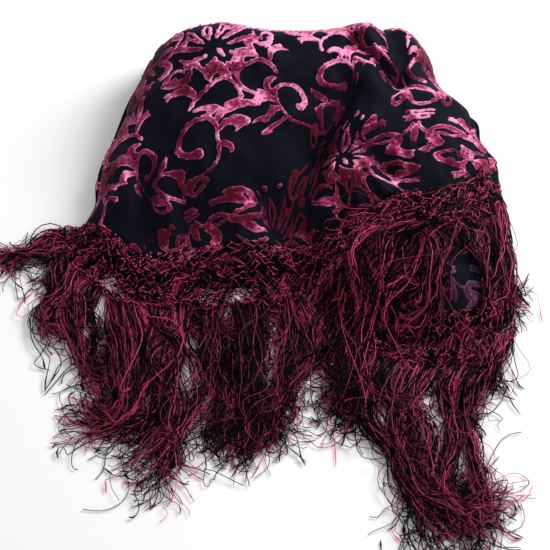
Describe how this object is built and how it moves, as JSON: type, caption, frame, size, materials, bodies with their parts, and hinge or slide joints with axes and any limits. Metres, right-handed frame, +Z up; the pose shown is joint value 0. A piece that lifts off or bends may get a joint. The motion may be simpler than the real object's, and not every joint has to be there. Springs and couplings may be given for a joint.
{
  "type": "piano shawl",
  "caption": "Square burnt-out velvet shawl folded and dropped in a loose heap, with a knotted net band and long fringe spread in front.",
  "frame": {"origin": "middle of the bounding box, on the surface the heap lies on", "axes": "+Z up, +Y from the fringe tips towards the back fold, +X to the right seen from the fringe"},
  "size_m": [0.5873, 0.6646, 0.1169],
  "materials": {
    "velvet": "pink and crimson burnt-out velvet pile on a near-black navy ground",
    "chiffon": "folded layers of near-black navy chiffon with velvet between them",
    "net": "knotted net of black and magenta thread",
    "thread": "silky black and magenta thread"
  },
  "bodies": {
    "root": {"folded_layers": "chiffon", "top_panel": "velvet", "lower_panel": "velvet", "front_net": "net", "right_net": "net", "lower_net": "net", "left_fringe": "thread", "front_left_fringe": "thread", "front_right_fringe": "thread", "lower_fringe": "thread", "right_fringe": "thread"}
  },
  "joints": []
}
